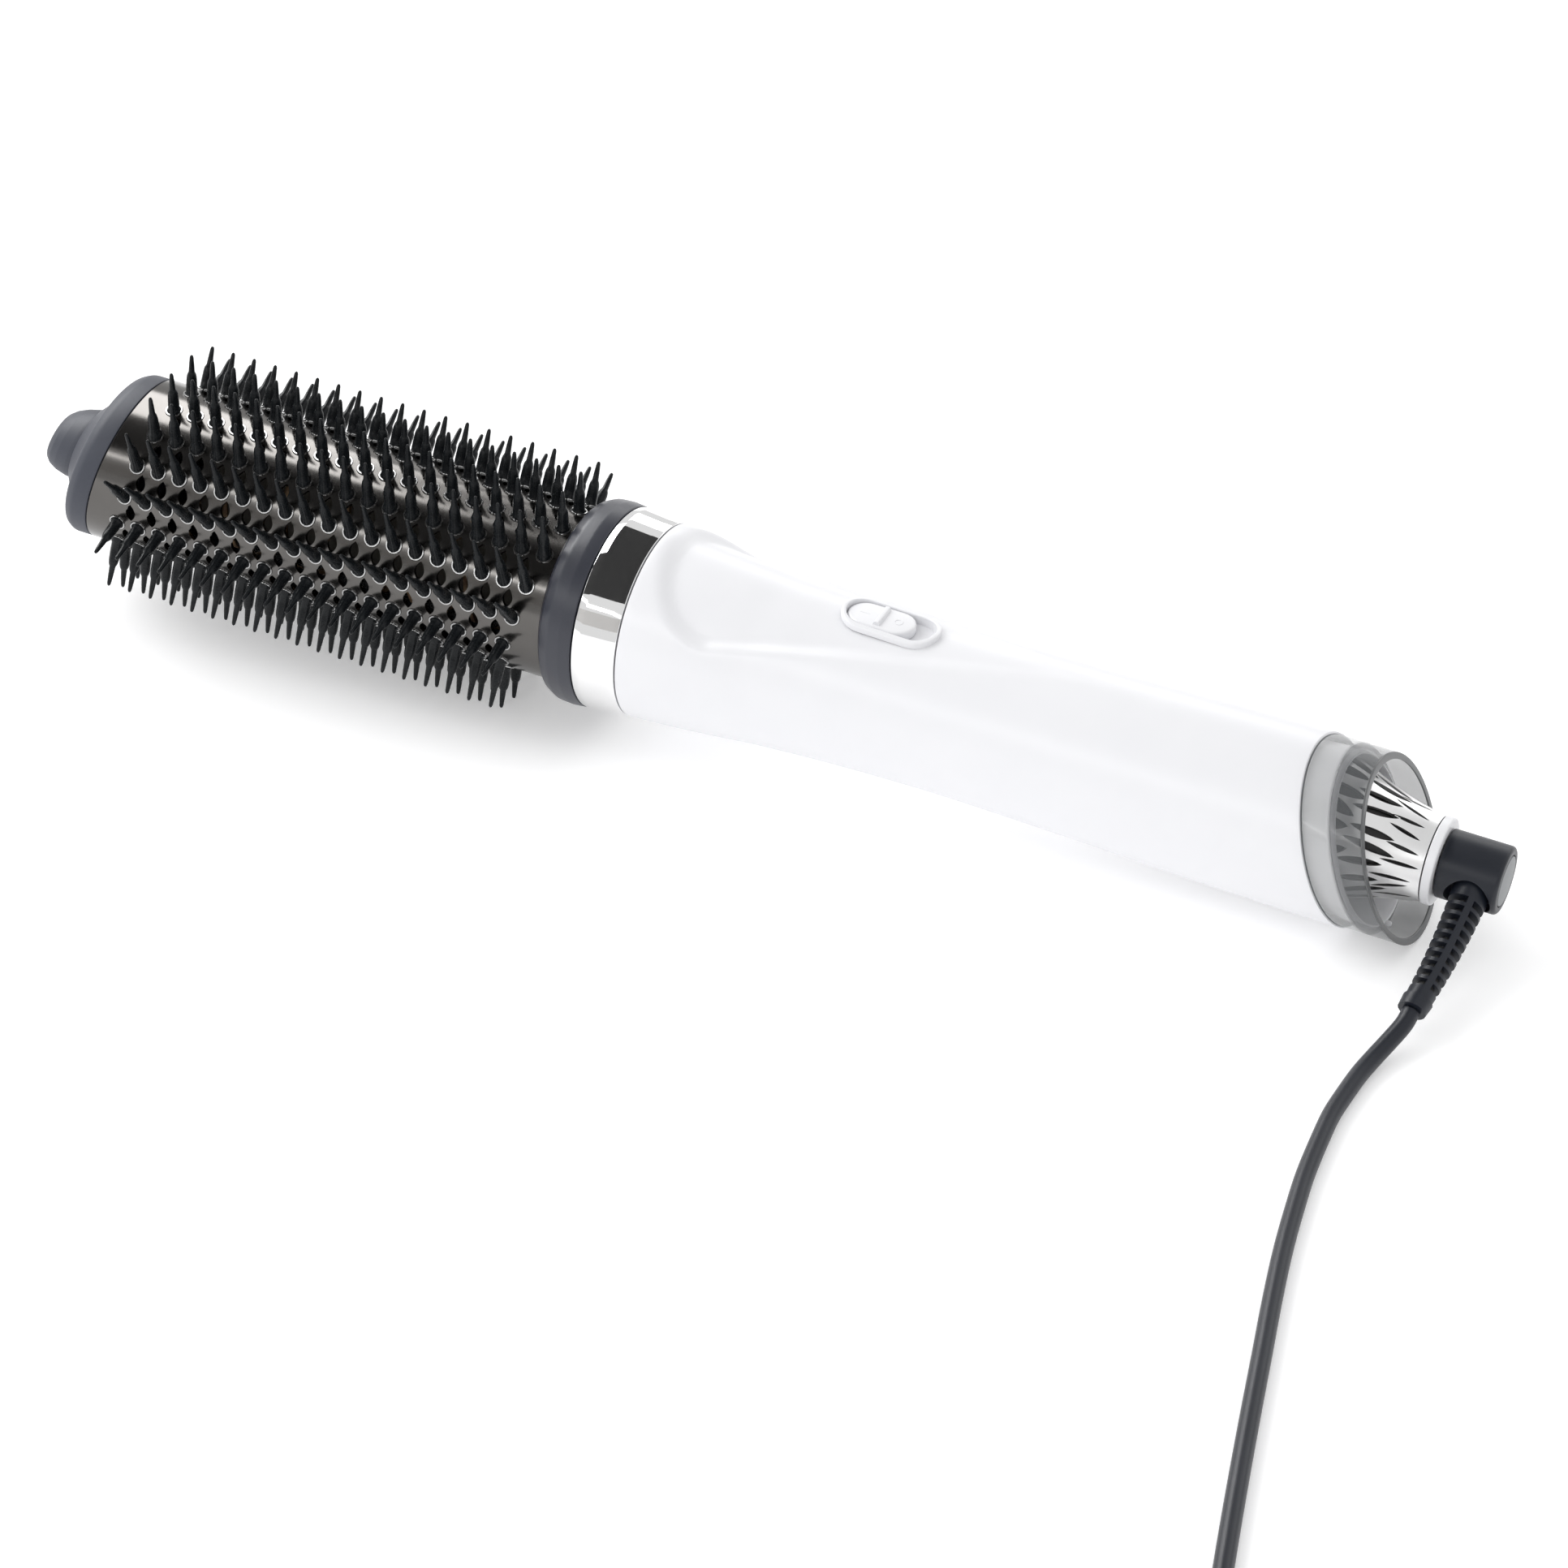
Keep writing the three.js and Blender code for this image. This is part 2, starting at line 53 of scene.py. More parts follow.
BRUSH = (
    Matrix.Translation(Vector(swivel["pos_m"]) - AXIS * SWIVEL_STATION * MM)
    @ Matrix.Rotation(math.atan2(-AXIS.z, AXIS.x), 4, "Y")
    @ Matrix.Scale(MM, 4)
)

# Driving sizes, as in the CAD model, in millimetres
KNOB_START = 2.2
KNOB_END = 18.5
CAP_START = 11.1
CAP_SHELF = 19.5
CAP_SEAM = 24.5
BARREL_END = 152.7
COLLAR_END = 163.1
CHROME_END = 174.6
HANDLE_END = 353.1
CLEAR_RING_END = 360.2
SMOKY_RING_END = 368.3
CONE_END = 376.3
SWIVEL_COLLAR_END = 379.0
ELBOW_END = 394.2
KNOB_RAKE = 0.33
NOSE_RAKE = 0.26
INLET_RAKE = -0.4
KNOB_RADIUS = 9.7
BARREL_RADIUS = 22.1
RING_RADIUS = 21.5
RING_BORE = 19.9
ELBOW_RADIUS = 8.35
ROWS = 16
BRISTLES_PER_ROW = 19
BRISTLE_PITCH = 6.125
FIRST_BRISTLE = 33.7
ROW_RAKE = 0.28
SWITCH_STATION = 236.4
SLOT_LENGTH = 23.0
SLOT_WIDTH = 10.0
BUTTON_LENGTH = 17.4
BUTTON_WIDTH = 9.4
RELIEF_START = ELBOW_RADIUS + 0.5
RELIEF_LENGTH = 32.0
RELIEF_DROP = math.radians(20)
RELIEF_LEAN = math.radians(2.6)
RELIEF_TWIST = math.radians(-20)
RELIEF_BOW = 1.1
RELIEF_BOW_SIDE = Vector((0.75, -0.65, 0))
GAP = 0.3

# The cord's route on the surface, in metres, and what follows it out of view
CORD_DIAMETER = 0.0044
CORD_ROUTE = [
    (0.1875, -0.0387, 0.0071), (0.187, -0.0423, 0.0057), (0.1854, -0.0476, 0.0041),
    (0.1839, -0.053, 0.003), (0.1827, -0.0595, 0.0025), (0.1821, -0.0674, 0.0024),
    (0.1818, -0.075, 0.0024), (0.1822, -0.0825, 0.0024), (0.1834, -0.096, 0.0024),
    (0.185, -0.107, 0.0024), (0.1876, -0.122, 0.0024), (0.191, -0.138, 0.0024),
    (0.1952, -0.156, 0.0024), (0.1996, -0.175, 0.0024), (0.2046, -0.196, 0.0024),
    (0.2098, -0.217, 0.0024), (0.2152, -0.238, 0.0024), (0.2206, -0.258, 0.0024),
    (0.2252, -0.275, 0.0024), (0.2276, -0.2865, 0.0024),
]
CORD_TAIL = [
    (0.2322, -0.3306, 0.0126), (0.2322, -0.336, 0.011), (0.2322, -0.341, 0.0098),
    (0.2322, -0.3497, 0.0087),
]
COIL_CENTRE = Vector((0.1983, -0.312, 0.0024))
COIL_OUTER = 0.0339
COIL_INNER = 0.0178
COIL_LAYERS = 4
TURNS_PER_LAYER = 3.5
LAYER_HEIGHT = 0.00455

# Camera
LENS = 108.0
CAMERA_PLACE = Vector((0.4135, -0.8586, 0.6805))
CAMERA_AZIMUTH = math.radians(25.1)
CAMERA_ELEVATION = math.radians(36.0)


def add_camera():
    camera = bpy.data.cameras.new("camera")
    camera.lens = LENS
    camera.sensor_width = 36
    holder = bpy.data.objects.new("camera", camera)
    bpy.context.scene.collection.objects.link(holder)
    holder.location = CAMERA_PLACE
    holder.rotation_euler = (math.pi / 2 - CAMERA_ELEVATION, 0, CAMERA_AZIMUTH)
    bpy.context.scene.camera = holder


add_camera()

# Materials

# The sockets of a colour Mix node
MIX_FACTOR, MIX_DARK, MIX_LIGHT, MIX_RESULT = 0, 6, 7, 2
CLOUD_SCALE = 70


def noise(tree, scale, detail=3.0, stretch=None):
    """A noise texture in the piece's own space, in features per metre."""
    place = tree.nodes.new("ShaderNodeTexCoord")
    texture = tree.nodes.new("ShaderNodeTexNoise")
    texture.inputs["Scale"].default_value = scale
    texture.inputs["Detail"].default_value = detail
    vector = place.outputs["Object"]
    if stretch:
        mapping = tree.nodes.new("ShaderNodeMapping")
        mapping.inputs["Scale"].default_value = stretch
        tree.links.new(vector, mapping.inputs["Vector"])
        vector = mapping.outputs["Vector"]
    tree.links.new(vector, texture.inputs["Vector"])
    return texture.outputs["Fac"]


def material(name, dark, light, rough, grain=1500, bump=0.1, depth=0.00005, stretch=None, **sockets):
    """Moulded plastic or metal: two near shades in a broad cloud, and a fine grain in gloss and bump."""
    made = bpy.data.materials.new(name)
    made.use_nodes = True
    tree = made.node_tree
    shader = tree.nodes["Principled BSDF"]
    shades = tree.nodes.new("ShaderNodeMix")
    shades.data_type = "RGBA"
    shades.inputs[MIX_DARK].default_value = (*dark, 1)
    shades.inputs[MIX_LIGHT].default_value = (*light, 1)
    tree.links.new(noise(tree, CLOUD_SCALE), shades.inputs[MIX_FACTOR])
    tree.links.new(shades.outputs[MIX_RESULT], shader.inputs["Base Color"])
    fine = noise(tree, grain, 4, stretch)
    gloss = tree.nodes.new("ShaderNodeMapRange")
    gloss.inputs["To Min"].default_value = rough[0]
    gloss.inputs["To Max"].default_value = rough[1]
    tree.links.new(fine, gloss.inputs["Value"])
    tree.links.new(gloss.outputs["Result"], shader.inputs["Roughness"])
    relief = tree.nodes.new("ShaderNodeBump")
    relief.inputs["Strength"].default_value = bump
    relief.inputs["Distance"].default_value = depth
    tree.links.new(fine, relief.inputs["Height"])
    tree.links.new(relief.outputs["Normal"], shader.inputs["Normal"])
    for socket, value in sockets.items():
        shader.inputs[socket.replace("_", " ")].default_value = value
    return made


def grey(value, warmth=0.0):
    """A grey, leaning to red if warmth is above nought and to blue if below."""
    return (value * (1 + warmth), value, value * (1 - warmth))


WHITE = material("white_plastic", (0.755, 0.757, 0.78), (0.785, 0.787, 0.805), (0.28, 0.36), 2500, 0.06)
SLATE = material("slate_plastic", (0.032, 0.036, 0.051), (0.042, 0.047, 0.065), (0.48, 0.6), 2600, 0.35)
NAVY = material("navy_plastic", (0.027, 0.029, 0.04), (0.036, 0.039, 0.052), (0.3, 0.4), 2600, 0.25)
NYLON = material(
    "bristle_nylon", grey(0.005, -0.15), grey(0.01, -0.2), (0.22, 0.34), 1800, 0.15,
    Specular_IOR_Level=0.22,
)
PALE = material("pale_plastic", grey(0.66, -0.01), grey(0.72, -0.01), (0.3, 0.4), 1800, 0.1)
GUNMETAL = material(
    "gunmetal", grey(0.1, 0.05), grey(0.13, 0.04), (0.12, 0.22), 900, 0.06, stretch=(6, 1, 1),
    Metallic=1.0,
)
CHROME = material("chrome", grey(0.84), grey(0.88), (0.02, 0.05), 900, 0.01, Metallic=1.0)
SILVER = material("silver", grey(0.82), grey(0.9), (0.28, 0.38), 1200, 0.05, Metallic=1.0)
# The barrel's gunmetal made lighter for the raised lips round the bristle holes: a painted highlight, so that the
# real rims mirror the floor as bright crescents
LIP_HIGHLIGHT_METAL = material("lip_metal_painted_highlight", grey(0.4), grey(0.46), (0.07, 0.14), 1400, 0.05, Metallic=1.0)
STEEL = material("steel", grey(0.5), grey(0.58), (0.25, 0.4), 1400, 0.1, Metallic=1.0)
WIRE = material("heating_wire", (0.42, 0.28, 0.17), (0.5, 0.35, 0.23), (0.3, 0.5), 1400, 0.1, Metallic=1.0)
CLEAR = material(
    "clear_plastic", grey(0.6, -0.01), grey(0.66, -0.01), (0.05, 0.1), 1200, 0.02, Alpha=0.4, IOR=1.49,
)
SMOKY = material(
    "smoky_plastic", grey(0.13, -0.04), grey(0.18, -0.04), (0.08, 0.14), 1200, 0.02, Alpha=0.4, IOR=1.49,
)
RIM = material("inlet_rim", grey(0.09, -0.03), grey(0.12, -0.03), (0.2, 0.3), 1800, 0.05)
RUBBER = material(
    "black_rubber", (0.007, 0.009, 0.015), (0.011, 0.014, 0.022), (0.34, 0.46), 2600, 0.25,
    Specular_IOR_Level=0.4,
)
BLACK = material("black_plastic", grey(0.01), grey(0.015), (0.4, 0.55), 2200, 0.25)
GREY = material("grey_plastic", grey(0.15, -0.05), grey(0.19, -0.05), (0.35, 0.5), 2200, 0.2)
MICA = material("mica_board", (0.06, 0.054, 0.045), (0.085, 0.076, 0.062), (0.5, 0.8), 700, 0.4)
BOARD = material("circuit_board", (0.01, 0.11, 0.04), (0.02, 0.15, 0.06), (0.4, 0.6), 900, 0.3)

MATERIAL_OF_SLOT = {
    "white_plastic": WHITE, "slate_plastic": SLATE, "navy_plastic": NAVY, "bristle_nylon": NYLON,
    "gunmetal": GUNMETAL, "chrome": CHROME, "silver": SILVER, "clear_plastic": CLEAR,
    "smoky_plastic": SMOKY, "black_rubber": RUBBER, "black_plastic": BLACK, "grey_plastic": GREY,
    "steel": STEEL, "heating_wire": WIRE, "mica_board": MICA, "circuit_board": BOARD,
}


def dress_cad_nodes():
    for part in frame["record"]["subparts"]:
        node = frame["nodes"][part["node"]]
        node.data.materials.clear()
        node.data.materials.append(MATERIAL_OF_SLOT[part["material_slot"]])


# Mesh helpers


def finish_mesh(name, bm, place=BRUSH, sharp=32):
    """A mesh object from bm, moved from the brush's millimetres to its place."""
    bmesh.ops.recalc_face_normals(bm, faces=bm.faces)
    mesh = bpy.data.meshes.new(name)
    bm.to_mesh(mesh)
    bm.free()
    mesh.transform(place)
    mesh.shade_smooth()
    mesh.set_sharp_from_angle(angle=math.radians(sharp))
    holder = bpy.data.objects.new(name, mesh)
    bpy.context.scene.collection.objects.link(holder)
    return holder


def piece(name, bm, look, replaces=(), slot=None, body="brush", place=BRUSH, sharp=32):
    made = finish_mesh(name, bm, place, sharp)
    made.data.materials.append(look)
    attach(made, body)
    if replaces:
        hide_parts(*replaces)
    return made


def rounded(outline, steps=4):
    """A closed outline of (a, b) or (a, b, radius) corners with those corners rounded."""
    points = []
    count = len(outline)
    for i, corner in enumerate(outline):
        here = Vector(corner[:2])
        radius = corner[2] if len(corner) > 2 else 0
        if not radius:
            points.append(here)
            continue
        before = (Vector(outline[i - 1][:2]) - here).normalized()
        after = (Vector(outline[(i + 1) % count][:2]) - here).normalized()
        half = before.angle(after) / 2
        reach = radius / math.tan(half)
        start, end = here + before * reach, here + after * reach
        middle = here + (before + after).normalized() * (radius / math.sin(half))
        for k in range(steps + 1):
            blend = start.lerp(end, k / steps) - middle
            points.append(middle + blend.normalized() * radius)
    return points


def circle(radius, height, sides):
    """A level circle of points."""
    turns = [2 * math.pi * k / sides for k in range(sides)]
    return [Vector((radius * math.cos(turn), radius * math.sin(turn), height)) for turn in turns]


def revolve(profile, sides=96, rake=None):
    """A closed solid turned about the axis from (station, radius[, corner radius]) points."""
    bm = bmesh.new()
    rings = []
    for point in rounded(profile):
        if point.y < 1e-6:
            rings.append([bm.verts.new((point.x, 0, 0))])
            continue
        ring = []
        for k in range(sides):
            angle = 2 * math.pi * k / sides
            y, z = point.y * math.sin(angle), point.y * math.cos(angle)
            ring.append(bm.verts.new((point.x, y, z)))
        rings.append(ring)
    count = len(rings)
    for i in range(count):
        near, far = rings[i], rings[(i + 1) % count]
        if len(near) == 1 and len(far) == 1:
            continue
        for k in range(sides):
            after = (k + 1) % sides
            loop = [near[k % len(near)], near[after % len(near)], far[after % len(far)], far[k % len(far)]]
            bm.faces.new(list(dict.fromkeys(loop)))
    if rake:
        shear(bm, *rake)
    return bm


def shear(bm, slope, start=-math.inf, end=math.inf):
    """Slants what lies between two stations, so that its seams lean along the brush."""
    for vert in bm.verts:
        if start <= vert.co.x <= end:
            vert.co.x += slope * vert.co.z


def tube(start, end, outer, inner, fillet, sides, rake):
    outline = [(start, outer, fillet), (end, outer, fillet), (end, inner, fillet), (start, inner, fillet)]
    return revolve(outline, sides, rake=rake)


def extrude(outline, low, high, bm=None, place=Matrix.Identity(4)):
    """A prism over a closed outline of (x, y) points, between two heights."""
    bm = bm or bmesh.new()
    low_ring = [bm.verts.new(place @ Vector((x, y, low))) for x, y in outline]
    high_ring = [bm.verts.new(place @ Vector((x, y, high))) for x, y in outline]
    bm.faces.new(low_ring[::-1])
    bm.faces.new(high_ring)
    count = len(outline)
    for k in range(count):
        after = (k + 1) % count
        bm.faces.new([low_ring[k], low_ring[after], high_ring[after], high_ring[k]])
    return bm


def loft(contours, bm=None):
    """A closed solid through rings of equally many points, capped at both ends."""
    bm = bm or bmesh.new()
    rings = [[bm.verts.new(point) for point in ring] for ring in contours]
    count = len(rings[0])
    for near, far in zip(rings, rings[1:]):
        for k in range(count):
            after = (k + 1) % count
            bm.faces.new([near[k], near[after], far[after], far[k]])
    bm.faces.new(rings[0][::-1])
    bm.faces.new(rings[-1])
    return bm


def sweep_ring(sections):
    """A closed ring through sections of equally many points."""
    bm = bmesh.new()
    rings = [[bm.verts.new(point) for point in section] for section in sections]
    count, size = len(rings), len(rings[0])
    for i in range(count):
        near, far = rings[i], rings[(i + 1) % count]
        for k in range(size):
            after = (k + 1) % size
            bm.faces.new([near[k], near[after], far[after], far[k]])
    return bm


def boolean(bm, cutter, operation="DIFFERENCE"):
    """bm cut by, or joined with, cutter, both in the brush's millimetres."""
    base = finish_mesh("boolean_base", bm, Matrix.Identity(4))
    other = finish_mesh("boolean_cutter", cutter, Matrix.Identity(4))
    modifier = base.modifiers.new("boolean", "BOOLEAN")
    modifier.operation = operation
    modifier.solver = "MANIFOLD"
    modifier.object = other
    depsgraph = bpy.context.evaluated_depsgraph_get()
    result = bmesh.new()
    result.from_object(base, depsgraph)
    bpy.data.objects.remove(base)
    bpy.data.objects.remove(other)
    return result


def smoothstep(value):
    value = min(max(value, 0.0), 1.0)
    return value * value * (3 - 2 * value)


def along_points(points, x):
    """A smooth curve through (x, y) points, by cubic pieces."""
    last = len(points) - 1
    i = max(k for k in range(last) if points[k][0] <= x or k == 0)
    (x0, y0), (x1, y1) = points[i], points[i + 1]

    def slope(k):
        low, high = points[max(k - 1, 0)], points[min(k + 1, last)]
        return (high[1] - low[1]) / (high[0] - low[0])

    width = x1 - x0
    t = min(max((x - x0) / width, 0), 1)
    return (
        (2 * t**3 - 3 * t**2 + 1) * y0 + (t**3 - 2 * t**2 + t) * width * slope(i)
        + (3 * t**2 - 2 * t**3) * y1 + (t**3 - t**2) * width * slope(i + 1)
    )


def stadium(station, length, width, sides=16):
    """The outline of a bar with half-round ends, as (x, y) points."""
    radius = width / 2
    straight = length / 2 - radius
    points = []
    for middle, start in ((straight, -math.pi / 2), (-straight, math.pi / 2)):
        for k in range(sides + 1):
            angle = start + math.pi * k / sides
            points.append((station + middle + radius * math.cos(angle), radius * math.sin(angle)))
    return points


def row_angle(row):
    """A bristle row's angle about the axis, from the top down the side facing the camera."""
    return (row + 0.5) * 2 * math.pi / ROWS


def row_shift(angle):
    """How far the slant of the nose moves a row along the brush."""
    return ROW_RAKE * BARREL_RADIUS * math.cos(angle)


def on_barrel(station, angle, radius):
    """A frame on the barrel: z out along the radius, x along the brush."""
    return (
        Matrix.Translation((station, 0, 0))
        @ Matrix.Rotation(angle, 4, "X")
        @ Matrix.Translation((0, 0, radius))
    )


# The cord comes first, with the camera


def catmull(points, steps):
    """Points along a smooth curve through the given ones."""
    ends = [points[0] * 2 - points[1], *points, points[-1] * 2 - points[-2]]
    made = []
    for a, b, c, d in zip(ends, ends[1:], ends[2:], ends[3:]):
        for k in range(steps):
            t = k / steps
            first = (c - a) * t
            second = (2 * a - 5 * b + 4 * c - d) * t**2
            third = (3 * b - a - 3 * c + d) * t**3
            made.append(0.5 * (2 * b + first + second + third))
    made.append(points[-1])
    return made


def coil_points():
    """Layers of turns laid from outside in, then inside out, each layer a cord's height up."""
    steps_per_turn = 48
    settle = 0.92  # the share of a layer after which the cord climbs to the next
    steps = round(TURNS_PER_LAYER * steps_per_turn)
    points = []
    for layer in range(COIL_LAYERS):
        for k in range(steps + (layer == COIL_LAYERS - 1)):
            part = k / steps
            angle = -2 * math.pi * TURNS_PER_LAYER * (layer + part)
            inward = min(part / settle, 1)
            if layer % 2:
                inward = 1 - inward
            radius = COIL_OUTER + (COIL_INNER - COIL_OUTER) * inward
            rise = smoothstep((part - settle) / (1 - settle)) if layer < COIL_LAYERS - 1 else 0
            height = LAYER_HEIGHT * (layer + rise)
            offset = Vector((math.cos(angle) * radius, math.sin(angle) * radius, height))
            points.append(COIL_CENTRE + offset)
    return points


def mains_cord():
    route = catmull([Vector(p) for p in CORD_ROUTE], 4)
    tail = catmull([Vector(p) for p in CORD_TAIL], 4)
    points = route + coil_points() + tail
    curve = bpy.data.curves.new("mains_cord", "CURVE")
    curve.dimensions = "3D"
    curve.bevel_depth = CORD_DIAMETER / 2
    curve.bevel_resolution = 5
    curve.use_fill_caps = True
    spline = curve.splines.new("POLY")
    spline.points.add(len(points) - 1)
    for point, place in zip(spline.points, points):
        point.co = (*place, 1)
    cord = bpy.data.objects.new("mains_cord", curve)
    bpy.context.scene.collection.objects.link(cord)
    curve.materials.append(RUBBER)
    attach(cord, "swivel")
    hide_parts("cord", "cord_coil", "cord_tail")
    return cord


cord = mains_cord()


# Nose


def make_nose():
    bore = KNOB_RADIUS + GAP
    spigot_end, spigot_radius, spigot_bore = CAP_SEAM + 5, 20.8, 18.8
    band = [
        (CAP_START, bore, 0.3), (15.4, 15.2, 3), (17.3, 20.9, 2.2), (19.6, BARREL_RADIUS, 3),
        (CAP_SEAM - GAP, BARREL_RADIUS, 0.25), (CAP_SEAM - GAP, spigot_radius),
        (spigot_end, spigot_radius, 0.2), (spigot_end, spigot_bore, 0.2),
        (CAP_SHELF, spigot_bore), (CAP_SHELF, bore),
    ]
    piece("nose_band", revolve(band, rake=(NOSE_RAKE,)), SLATE, ["nose_cap"])
    knob = [
        (KNOB_START, 0), (KNOB_START, 6.1, 1.6), (4.1, 7.7, 2), (6.4, 8.7, 3), (9.7, 9.5, 4),
        (13, KNOB_RADIUS, 3), (KNOB_END, KNOB_RADIUS, 0.2), (KNOB_END, 0),
    ]
    piece("nose_knob", revolve(knob, rake=(KNOB_RAKE,)), SLATE, ["cool_tip"])


# Barrel

BARREL_WALL = 0.9
VENT_LENGTH = 4.9
VENT_WIDTH = 2.7


def leaf_outline(length, width, steps=7):
    """A pointed leaf, long across the brush."""
    shares = [-1 + 2 * k / steps for k in range(steps + 1)]
    right = [(width / 2 * (1 - t * t), length / 2 * t) for t in shares]
    left = [(-x, y) for x, y in right[-2:0:-1]]
    return right + left


def make_barrel():
    inner = BARREL_RADIUS - BARREL_WALL
    shell = tube(CAP_SEAM, BARREL_END, BARREL_RADIUS, inner, 0.15, 144, (NOSE_RAKE, 0, CAP_SEAM + 1))
    vents = bmesh.new()
    outline = leaf_outline(VENT_LENGTH, VENT_WIDTH)
    reach = 3
    for row in range(ROWS):
        angle = row * 2 * math.pi / ROWS
        for vent in range(BRISTLES_PER_ROW - 1):
            station = FIRST_BRISTLE + row_shift(angle) + (vent + 0.5) * BRISTLE_PITCH
            extrude(outline, -reach, reach, vents, on_barrel(station, angle, BARREL_RADIUS))
    barrel = piece("barrel_skin", boolean(shell, vents), GUNMETAL, ["heat_barrel"])
    smooth_barrel(barrel.data)
    lips = bmesh.new()
    for row in range(ROWS):
        angle = row_angle(row)
        for k in range(BRISTLES_PER_ROW):
            station = FIRST_BRISTLE + row_shift(angle) + k * BRISTLE_PITCH
            add_lip(lips, on_barrel(station, angle, BARREL_RADIUS))
    # Real raised lips whose gunmetal is painted lighter than the barrel's: a painted highlight
    piece("bristle_hole_lips", lips, LIP_HIGHLIGHT_METAL, slot="gunmetal", sharp=60)


def add_lip(bm, place, ring=2.0, thick=0.3, sides=20, section=6):
    """A raised lip of round section, such as the one round each bristle's hole."""
    rings = []
    for k in range(sides):
        turn = 2 * math.pi * k / sides
        out = Vector((math.cos(turn), math.sin(turn), 0))
        loop = []
        for j in range(section):
            tilt = 2 * math.pi * j / section
            point = out * (ring + thick * math.cos(tilt)) + Vector((0, 0, thick * math.sin(tilt)))
            loop.append(bm.verts.new(place @ point))
        rings.append(loop)
    for k in range(sides):
        near, far = rings[k], rings[(k + 1) % sides]
        for j in range(section):
            after = (j + 1) % section
            bm.faces.new([near[j], near[after], far[after], far[j]])


def smooth_barrel(mesh):
    """Shades the pierced barrel as the round tube it is."""
    outward = 0.98
    inverse = BRUSH.inverted()
    turn = BRUSH.to_3x3().normalized()
    local = [inverse @ vert.co for vert in mesh.vertices]
    normals = []
    for polygon in mesh.polygons:
        facing = turn.transposed() @ polygon.normal
        middle = inverse @ polygon.center
        radial = Vector((0, middle.y, middle.z)).normalized()
        side = facing.dot(radial)
        for index in polygon.vertices:
            if abs(side) > outward:
                point = local[index]
                out = Vector((0, point.y, point.z)).normalized()
                normals.append(turn @ (out if side > 0 else -out))
            else:
                normals.append(polygon.normal.copy())
    mesh.normals_split_custom_set(normals)


# Bristles

# How far the bristles of each row lean from the radius, in degrees: eight rows from the top down
# the side facing the camera, then eight from the underside up the back
ROW_LEANS = (-8, -27, -36, -36, 4, 30, 22, 2, 0, 0, 0, 0, 0, 0, 11, 8)
TIP_RADIUS = 33.45
RAIL_BOTTOM = 19.9
RAIL_TOP = 20.9
RAIL_HALF_WIDTH = 1.7
RAIL_OVERHANG = 1.8

# A bristle's outline: distance from the brush's axis, and half its thickness there
BRISTLE = [
    (20.6, 1.7), (22.5, 1.7), (22.7, 1.58), (22.85, 1.46), (25, 1.42), (27.2, 1.3), (28, 1.14),
    (28.45, 0.92), (28.7, 0.8), (31, 0.66), (32.7, 0.52), (33.2, 0.38), (TIP_RADIUS, 0.0),
]


def add_bristle(bm, place, sides=12):
    rings = []
    for height, radius in BRISTLE:
        points = circle(radius, height, sides if radius else 1)
        rings.append([bm.verts.new(place @ point) for point in points])
    bm.faces.new(rings[0][::-1])
    for near, far in zip(rings, rings[1:]):
        for k in range(sides):
            after = (k + 1) % sides
            loop = [near[k], near[after], far[after % len(far)], far[k % len(far)]]
            bm.faces.new(list(dict.fromkeys(loop)))


def leaning(row):
    """Leans a row's bristles about their roots, and stretches them to reach the tip cylinder."""
    lean = math.radians(ROW_LEANS[row])
    reach = BARREL_RADIUS * math.cos(lean)
    length = math.sqrt(reach**2 + TIP_RADIUS**2 - BARREL_RADIUS**2) - reach
    stretch = length / (TIP_RADIUS - BARREL_RADIUS)
    return (
        Matrix.Translation((0, 0, BARREL_RADIUS))
        @ Matrix.Rotation(lean, 4, "X")
        @ Matrix.Diagonal((1, 1, stretch, 1))
        @ Matrix.Translation((0, 0, -BARREL_RADIUS))
    )


def make_bristles():
    length = (BRISTLES_PER_ROW - 1) * BRISTLE_PITCH
    start, end = FIRST_BRISTLE - RAIL_OVERHANG, FIRST_BRISTLE + length + RAIL_OVERHANG
    half = RAIL_HALF_WIDTH
    rail = [(start, -half), (end, -half), (end, half), (start, half)]
    for row in range(ROWS):
        angle = row_angle(row)
        place = Matrix.Translation((row_shift(angle), 0, 0)) @ Matrix.Rotation(angle, 4, "X")
        strip = bmesh.new()
        extrude(rail, RAIL_BOTTOM, RAIL_TOP, strip, place)
        for k in range(BRISTLES_PER_ROW):
            root = place @ Matrix.Translation((FIRST_BRISTLE + k * BRISTLE_PITCH, 0, 0))
            add_bristle(strip, root @ leaning(row))
        number = f"{row + 1:02d}"
        piece(f"bristles_{number}", strip, NYLON, [f"bristle_strip_{number}"], sharp=45)


# Collar, chrome ring and handle


def make_collar():
    bore = 18.5
    start = BARREL_END + GAP
    collar = [
        (start, bore), (start, 22.9, 0.3), (start + 1.2, 24.8, 1.2), (start + 3.6, 26, 3),
        (start + 7, 26.2, 4), (COLLAR_END, 25.85, 0.3), (COLLAR_END, bore),
    ]
    piece("collar_ring", revolve(collar), NAVY, ["barrel_collar"])
    start = COLLAR_END + GAP
    chrome = [
        (start, bore), (start, 25.75, 0.35), (start + 2, 25.95, 2), (CHROME_END - 2, 25.2, 2),
        (CHROME_END, 24.9, 0.2), (CHROME_END, bore),
    ]
    piece("mirror_ring", revolve(chrome, 128), CHROME, ["chrome_ring"])


